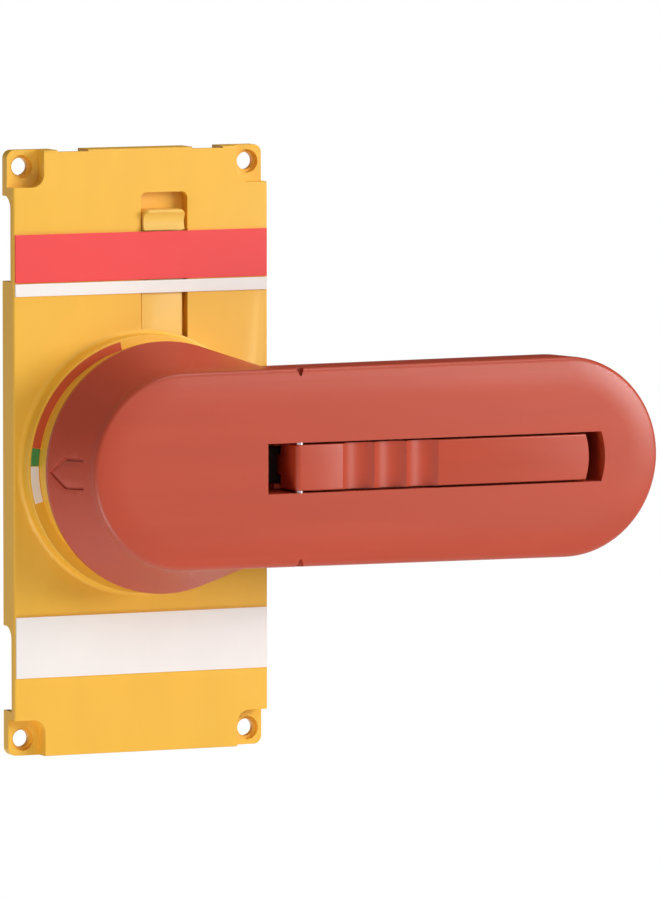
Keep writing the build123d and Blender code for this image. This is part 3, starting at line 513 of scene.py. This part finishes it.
def nitrile_rubber(name, colour):
    """Nitrile rubber, moulded.

    To the eye it is matt black with a dusty grey bloom in its grain.
    """
    grain_mm = 0.5  # its talc is far finer, drawn coarser so that it shows
    grain_depth_mm = 0.05
    barest, dustiest = 0.8, 1.4
    roughness = 0.8  # rubber scatters nearly all that it reflects
    material, tree = new_material(name)
    position = add_node(tree, "ShaderNodeTexCoord").outputs["Object"]
    grain = add_node(
        tree, "ShaderNodeTexNoise",
        {"Vector": position, "Scale": 1 / (grain_mm * MM), "Detail": 3.0},
    )
    bloom = add_node(
        tree, "ShaderNodeMapRange",
        {
            "Value": grain.outputs["Fac"], **NOISE_SPREAD,
            "To Min": barest, "To Max": dustiest,
        },
    )
    dusty = add_node(
        tree, "ShaderNodeHueSaturation", {"Color": colour, "Value": bloom.outputs["Result"]}
    )
    bump = add_node(
        tree, "ShaderNodeBump",
        {"Height": grain.outputs["Fac"], "Strength": 0.4, "Distance": grain_depth_mm * MM},
    )
    shader = add_node(
        tree, "ShaderNodeBsdfPrincipled",
        {
            "Base Color": dusty.outputs["Color"],
            "Roughness": roughness,
            "Normal": bump.outputs["Normal"],
            "IOR": NITRILE_IOR,
        },
    )
    add_node(tree, "ShaderNodeOutputMaterial", {"Surface": shader.outputs["BSDF"]})
    return material


def make_materials(finish):
    """One material for each of the record's material slots, and one for the ring's red, which
    is darkened in part as painted shade.

    A material under a node's name, such as the ring's red, is for that node alone.
    """
    return {
        "yellow_plastic": moulded_abs("yellow_abs", finish.plate_colour),
        "pale_yellow_plastic": moulded_abs("pale_yellow_abs", finish.slide_colour),
        "red_plastic": moulded_polyamide("red_polyamide", finish.handle_colour, 0.38, X_AXIS),
        "dark_red_plastic": moulded_polyamide(
            "red_polyamide_cover", finish.handle_colour, 0.5, X_AXIS
        ),
        "red_print": printed_film("red_printed_film", finish.red_print_colour),
        # the ring's red print, darkened in part as painted shade from the skirt above it
        "red_sector": printed_film("dull_red_printed_film", finish.ring_red_with_painted_shade_colour),
        "white_print": printed_film("white_printed_film", finish.white_print_colour),
        "green_print": printed_film("green_printed_film", finish.green_print_colour),
        "black_nylon": moulded_polyamide("black_polyamide", linear("#1E1F21"), 0.5, Z_AXIS),
        "black_rubber": nitrile_rubber("black_nitrile_rubber", linear("#161616")),
        "zinc_plated_steel": plated_steel(
            "zinc_plated_steel", linear("#C6C9CE"), 0.30, Y_AXIS
        ),
        "spring_steel": plated_steel("drawn_spring_steel", linear("#A4A8AE"), 0.34, Y_AXIS),
        # the lock bolt's near-black colour is painted shade of the deep slot that it sits in
        "blackened_steel": plated_steel("blackened_steel", linear("#241D1B"), 0.45, Y_AXIS),
    }


materials = {}  # filled by the first operator


# ---------------------------------------------------------------- pieces
def new_piece(name, work):
    """Object made from a bmesh, smooth except at sharp edges."""
    mesh = bpy.data.meshes.new(name)
    work.to_mesh(mesh)
    work.free()
    mesh.shade_smooth()
    mesh.set_sharp_from_angle(angle=SMOOTH_ANGLE)
    piece = bpy.data.objects.new(name, mesh)
    bpy.context.scene.collection.objects.link(piece)
    return piece


def place_piece(piece, node):
    """Give a new piece the body of the node that it stands for and the material of that node's
    slot.
    """
    slot = slot_of[node]
    piece.data.materials.append(materials.get(node, materials[slot]))
    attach(piece, cad_nodes[node]["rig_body"])
    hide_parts(node)
    return piece


def merged_copy(node):
    """Bmesh of a node's shape, with its doubles merged and the lines on its flats removed."""
    work = bmesh.new()
    work.from_mesh(cad_nodes[node].data)
    bmesh.ops.remove_doubles(work, verts=work.verts, dist=MERGE_DISTANCE)
    bmesh.ops.dissolve_limit(
        work, angle_limit=FLAT_ANGLE, verts=work.verts, edges=work.edges
    )
    return work


def eased_piece(node, name, edge):
    """A node's shape with its sharp edges eased."""
    piece = place_piece(new_piece(name, merged_copy(node)), node)
    ease = piece.modifiers.new("Eased edges", "BEVEL")
    ease.width = edge
    ease.segments = EASE_SEGMENTS
    ease.limit_method = "ANGLE"
    ease.angle_limit = EASE_ANGLE
    ease.use_clamp_overlap = True
    ease.harden_normals = True
    return piece


def loose_solids(node):
    """The points of each separate solid of a node."""
    work = merged_copy(node)
    left = set(work.verts)
    solids = []
    for first in work.verts:
        if first not in left:
            continue
        left.remove(first)
        reached = [first]
        for point in reached:
            for edge in point.link_edges:
                other = edge.other_vert(point)
                if other in left:
                    left.remove(other)
                    reached.append(other)
        solids.append([point.co.copy() for point in reached])
    work.free()
    return solids


def screw_sizes(points):
    """Centre, outward direction and sizes of a screw that lies along Y, from its points."""
    lowest = Vector([min(point[axis] for point in points) for axis in range(3)])
    highest = Vector([max(point[axis] for point in points) for axis in range(3)])
    centre = (lowest + highest) / 2
    radius = (highest.x - lowest.x) / 2
    wide = [
        point.y for point in points
        if hypot(point.x - centre.x, point.z - centre.z) > radius * RIM_SHARE
    ]
    narrow = [
        hypot(point.x - centre.x, point.z - centre.z) for point in points
        if point.y < min(wide) - RIM_MARGIN or point.y > max(wide) + RIM_MARGIN
    ]
    outward = 1 if sum(wide) / len(wide) > centre.y else -1
    top, tip = (highest.y, lowest.y) if outward > 0 else (lowest.y, highest.y)
    underside = min(wide) if outward > 0 else max(wide)
    return {
        "centre": centre, "outward": outward, "top": top, "tip": tip,
        "underside": underside, "head_radius": radius, "shank_radius": max(narrow),
    }


def round_outline(radius):
    """Outline of a disc: its radius at any angle."""
    return lambda angle: radius


def cross_outline(length, half_width):
    """Outline of a cross: its reach at any angle."""

    def reach(angle):
        along = max(abs(cos(angle)), LEAST_SHARE)
        across = max(abs(sin(angle)), LEAST_SHARE)
        arm = min(length / along, half_width / across)
        other_arm = min(length / across, half_width / along)
        return max(arm, other_arm)

    return reach


def skin_over(work, sides, rings):
    """Closed skin over rings, each a depth below Z 0 and an outline; returns its points."""
    ring = bmesh.ops.create_circle(work, cap_ends=True, segments=sides, radius=1.0)["verts"]
    points = []
    for depth, outline in rings:
        if points:
            edges = dict.fromkeys(edge for point in ring for edge in point.link_edges)
            rim = [edge for edge in edges if all(end in ring for end in edge.verts)]
            grown = bmesh.ops.extrude_edge_only(work, edges=rim)["geom"]
            ring = [item for item in grown if isinstance(item, bmesh.types.BMVert)]
        for point in ring:
            angle = atan2(point.co.y, point.co.x)
            reach = outline(angle)
            point.co = Vector((reach * cos(angle), reach * sin(angle), -depth))
        points += ring
    bmesh.ops.contextual_create(work, geom=ring)
    return points


def add_pan_screw(work, sizes, turn, finish):
    """Pan-head screw with a cross recess and a thread, laid where its sizes say.

    The rings go from the bottom of the recess over the head and down the thread to the tip.
    Their numbers are shares of the head's radius and height.
    """
    radius, shank = sizes["head_radius"], sizes["shank_radius"]
    height = abs(sizes["top"] - sizes["underside"])
    length = abs(sizes["top"] - sizes["tip"])
    root = ROOT_SHARE * shank
    rings = [
        (finish.recess_depth, cross_outline(0.30 * radius, 0.07 * radius)),
        (0.05 * height, cross_outline(0.56 * radius, 0.15 * radius)),
        (0.0, cross_outline(0.60 * radius, 0.18 * radius)),
        (0.0, round_outline(0.72 * radius)),
        (0.08 * height, round_outline(0.86 * radius)),
        (0.25 * height, round_outline(0.96 * radius)),
        (0.45 * height, round_outline(radius)),
        (0.97 * height, round_outline(radius)),
        (height, round_outline(0.98 * radius)),
        (height, round_outline(shank)),
    ]
    depth = height + finish.thread_pitch
    while depth + finish.thread_pitch < length:
        rings.append((depth, round_outline(shank)))
        rings.append((depth + finish.thread_pitch / 2, round_outline(root)))
        depth += finish.thread_pitch
    rings.append((length, round_outline(TIP_SHARE * root)))
    points = skin_over(work, SCREW_SIDES, rings)
    outward = Vector((0, sizes["outward"], 0))
    place = Matrix.Translation((sizes["centre"].x, sizes["top"], sizes["centre"].z))
    lay = outward.to_track_quat("Z", "X").to_matrix().to_4x4() @ Matrix.Rotation(turn, 4, "Z")
    bmesh.ops.transform(work, matrix=place @ lay, verts=points)


# ---------------------------------------------------------------- operators
class ISOLATOR_OT_materials(bpy.types.Operator):
    """Make the materials of all pieces"""

    bl_idname = "isolator.materials"
    bl_label = "Materials"

    def execute(self, context):
        materials.update(make_materials(context.scene.isolator_finish))
        return {"FINISHED"}


class ISOLATOR_OT_front_plate(bpy.types.Operator):
    """Dress the yellow front plate"""

    bl_idname = "isolator.front_plate"
    bl_label = "Front plate"

    def execute(self, context):
        finish = context.scene.isolator_finish
        eased_piece("front_plate", "moulded_front_plate", finish.moulding_edge)
        return {"FINISHED"}


class ISOLATOR_OT_labels(bpy.types.Operator):
    """Dress the three label strips and the coloured position ring"""

    bl_idname = "isolator.labels"
    bl_label = "Labels and ring"

    def execute(self, context):
        finish = context.scene.isolator_finish
        for node in (
            "red_label", "white_label", "lower_label",
            "red_sector", "green_sector", "white_sector",
        ):
            eased_piece(node, node + "_film", finish.film_edge)
        return {"FINISHED"}


class ISOLATOR_OT_release(bpy.types.Operator):
    """Dress the release slide and its return spring"""

    bl_idname = "isolator.release"
    bl_label = "Release slide"

    def execute(self, context):
        finish = context.scene.isolator_finish
        eased_piece("release_slide", "moulded_release_slide", finish.moulding_edge)
        # the spring keeps its own mesh, which the slide's motion squashes
        spring = cad_nodes["release_spring"]
        spring.data.materials.clear()
        spring.data.materials.append(materials[slot_of["release_spring"]])
        return {"FINISHED"}


class ISOLATOR_OT_handle(bpy.types.Operator):
    """Dress the lever, its cover, the padlock bar, its pin and the lock bolt"""

    bl_idname = "isolator.handle"
    bl_label = "Handle"

    def execute(self, context):
        finish = context.scene.isolator_finish
        for node in ("handle_shell", "handle_cover", "padlock_bar"):
            eased_piece(node, "moulded_" + node, finish.moulding_edge)
        for node in ("hinge_pin", "lock_bolt"):
            eased_piece(node, "steel_" + node, finish.metal_edge)
        return {"FINISHED"}


class ISOLATOR_OT_mechanism(bpy.types.Operator):
    """Dress the bearing, shaft, gears, carriage and rear frame"""

    bl_idname = "isolator.mechanism"
    bl_label = "Mechanism"

    def execute(self, context):
        finish = context.scene.isolator_finish
        for node in ("rear_frame", "toggle_carriage", "toggle_pads", "bearing_bush"):
            eased_piece(node, "moulded_" + node, finish.moulding_edge)
        for node in ("drive_shaft", "shaft_clip", "pinion", "rack"):
            eased_piece(node, "machined_" + node, finish.metal_edge)
        return {"FINISHED"}


class ISOLATOR_OT_screws(bpy.types.Operator):
    """Model the screws of every group where the frame has them"""

    bl_idname = "isolator.screws"
    bl_label = "Screws"

    def execute(self, context):
        finish = context.scene.isolator_finish
        for node in (
            "frame_screws", "cover_screws", "flange_screws", "rack_screws", "pinion_screw",
        ):
            work = bmesh.new()
            for index, points in enumerate(loose_solids(node)):
                turn = radians(FIRST_TURN_DEG + NEXT_TURN_DEG * index)
                add_pan_screw(work, screw_sizes(points), turn, finish)
            bmesh.ops.recalc_face_normals(work, faces=work.faces)
            place_piece(new_piece("cross_" + node, work), node)
        return {"FINISHED"}


class ISOLATOR_OT_stage(bpy.types.Operator):
    """Set up the camera, floor, sky and lamps"""

    bl_idname = "isolator.stage"
    bl_label = "Stage"

    def execute(self, context):
        stage = context.scene.isolator_stage
        make_camera(stage)
        make_floor(stage)
        make_sky(stage)
        for name, size, azimuth, elevation, distance in LAMPS:
            place = direction(radians(azimuth), radians(elevation)) * distance
            add_lamp(name, size, getattr(stage, name + "_power"), place)
        context.scene.view_settings.view_transform = "Standard"
        return {"FINISHED"}


# ---------------------------------------------------------------- stage
# each lamp's name, width in metres, azimuth and elevation in degrees, and distance in metres;
# its power is the stage's own setting
LAMPS = (
    ("key", 0.6, 48, 14, 1.3),
    ("front", 0.8, 0, 32, 1.6),
    ("fill", 0.5, -55, -35, 1.0),
    ("top", 0.6, 60, 68, 1.3),
)


def direction(azimuth, elevation):
    """Unit vector from the part towards a viewer at that azimuth and elevation."""
    return Vector(
        (sin(azimuth) * cos(elevation), -cos(azimuth) * cos(elevation), sin(elevation))
    )


def make_camera(stage):
    """Camera at the viewing angle, aimed at a point on the plate."""
    data = bpy.data.cameras.new("camera")
    data.lens = stage.lens
    camera = bpy.data.objects.new("camera", data)
    view = direction(stage.azimuth, stage.elevation)
    camera.location = Vector(stage.aim) + view * stage.distance
    camera.rotation_euler = view.to_track_quat("Z", "Y").to_euler()
    bpy.context.scene.collection.objects.link(camera)
    bpy.context.scene.camera = camera


def make_floor(stage):
    """Pale floor below the part, white to the camera and in gloss where nothing shades it."""
    work = bmesh.new()
    bmesh.ops.create_grid(work, x_segments=1, y_segments=1, size=FLOOR_HALF_WIDTH)
    floor_height = cad_bounds[0][2] - stage.floor_drop
    bmesh.ops.translate(work, vec=(0, 0, floor_height), verts=work.verts)
    floor = new_piece("floor", work)
    material, tree = new_material("pale_floor")
    path = add_node(tree, "ShaderNodeLightPath").outputs
    seen = add_node(
        tree, "ShaderNodeMath", {0: path["Is Camera Ray"], 1: path["Is Glossy Ray"]},
        operation="MAXIMUM",
    )
    paper = add_node(tree, "ShaderNodeBsdfDiffuse", {"Color": linear(PAPER_WHITE)})
    glow = add_node(
        tree, "ShaderNodeEmission", {"Color": linear(WHITE), "Strength": FLOOR_GLOW}
    )
    lit = add_node(
        tree, "ShaderNodeAddShader", {0: paper.outputs["BSDF"], 1: glow.outputs["Emission"]}
    )
    mix = add_node(
        tree, "ShaderNodeMixShader",
        {"Fac": seen.outputs["Value"], 1: paper.outputs["BSDF"], 2: lit.outputs["Shader"]},
    )
    add_node(tree, "ShaderNodeOutputMaterial", {"Surface": mix.outputs["Shader"]})
    floor.data.materials.append(material)


def make_sky(stage):
    """Even sky, white to the camera.

    Gloss shows it white below and dimmer towards the top, and dim behind the part except at
    the left, where it is as bright as a white card.
    """
    # parts of a unit direction, between which the sky dims or the card fades out
    dim_from_height, dim_to_height = -0.25, 0.35
    dim_from_depth, dim_to_depth = 0.1, 0.5
    card_full, card_gone = -0.4, -0.1
    world = bpy.data.worlds.new("studio")
    bpy.context.scene.world = world
    world.use_nodes = True
    tree = world.node_tree
    tree.nodes.clear()
    path = add_node(tree, "ShaderNodeLightPath").outputs
    ray = add_node(tree, "ShaderNodeTexCoord").outputs["Generated"]
    way = add_node(tree, "ShaderNodeSeparateXYZ", {"Vector": ray}).outputs
    by_height = add_node(
        tree, "ShaderNodeMapRange",
        {
            "Value": way["Z"], "From Min": dim_from_height, "From Max": dim_to_height,
            "To Min": 1.0, "To Max": stage.overhead,
        },
    )
    by_depth = add_node(
        tree, "ShaderNodeMapRange",
        {
            "Value": way["Y"], "From Min": dim_from_depth, "From Max": dim_to_depth,
            "To Min": 1.0, "To Max": stage.behind,
        },
    )
    left_card = add_node(
        tree, "ShaderNodeMapRange",
        {
            "Value": way["X"], "From Min": card_full, "From Max": card_gone,
            "To Min": 1.0, "To Max": 0.0,
        },
    )
    around = add_node(
        tree, "ShaderNodeMath",
        {0: by_depth.outputs["Result"], 1: left_card.outputs["Result"]},
        operation="MAXIMUM",
    )
    reflected = add_node(
        tree, "ShaderNodeMath",
        {0: by_height.outputs["Result"], 1: around.outputs["Value"]},
        operation="MULTIPLY",
    )
    in_gloss = add_node(
        tree, "ShaderNodeMix",
        {"Factor": path["Is Glossy Ray"], "A": stage.sky, "B": reflected.outputs["Value"]},
    )
    strength = add_node(
        tree, "ShaderNodeMix",
        {"Factor": path["Is Camera Ray"], "A": in_gloss.outputs["Result"], "B": 1.0},
    )
    background = add_node(
        tree, "ShaderNodeBackground",
        {"Color": linear(WHITE), "Strength": strength.outputs["Result"]},
    )
    add_node(tree, "ShaderNodeOutputWorld", {"Surface": background.outputs["Background"]})


def add_lamp(name, size, power, place):
    """Square soft lamp that faces the part."""
    data = bpy.data.lights.new(name, "AREA")
    data.energy = power
    data.size = size
    lamp = bpy.data.objects.new(name, data)
    lamp.location = place
    lamp.rotation_euler = place.to_track_quat("Z", "Y").to_euler()
    bpy.context.scene.collection.objects.link(lamp)


# ---------------------------------------------------------------- panel and registration
class ISOLATOR_PT_pieces(bpy.types.Panel):
    """Lists the operators and the settings in the sidebar"""

    bl_label = "Rotary isolator switch"
    bl_space_type = "VIEW_3D"
    bl_region_type = "UI"
    bl_category = "Isolator"

    def draw(self, context):
        for operator in OPERATORS:
            self.layout.operator(operator.bl_idname)
        for settings in (context.scene.isolator_finish, context.scene.isolator_stage):
            for name in settings.bl_rna.properties.keys():
                if name not in {"rna_type", "name"}:
                    self.layout.prop(settings, name)


OPERATORS = (
    ISOLATOR_OT_materials,
    ISOLATOR_OT_stage,
    ISOLATOR_OT_front_plate,
    ISOLATOR_OT_labels,
    ISOLATOR_OT_release,
    ISOLATOR_OT_handle,
    ISOLATOR_OT_mechanism,
    ISOLATOR_OT_screws,
)
CLASSES = (IsolatorFinish, IsolatorStage, *OPERATORS, ISOLATOR_PT_pieces)


def register():
    """Register the classes and hang the settings on the scene."""
    for item in CLASSES:
        bpy.utils.register_class(item)
    bpy.types.Scene.isolator_finish = PointerProperty(type=IsolatorFinish)
    bpy.types.Scene.isolator_stage = PointerProperty(type=IsolatorStage)


def unregister():
    """Take the settings off the scene and unregister the classes."""
    del bpy.types.Scene.isolator_stage
    del bpy.types.Scene.isolator_finish
    for item in reversed(CLASSES):
        bpy.utils.unregister_class(item)


def main():
    """Make every piece."""
    register()
    bpy.ops.isolator.materials()
    bpy.ops.isolator.stage()
    bpy.ops.isolator.front_plate()
    bpy.ops.isolator.labels()
    bpy.ops.isolator.release()
    bpy.ops.isolator.handle()
    bpy.ops.isolator.mechanism()
    bpy.ops.isolator.screws()


if __name__ == "__main__":
    main()
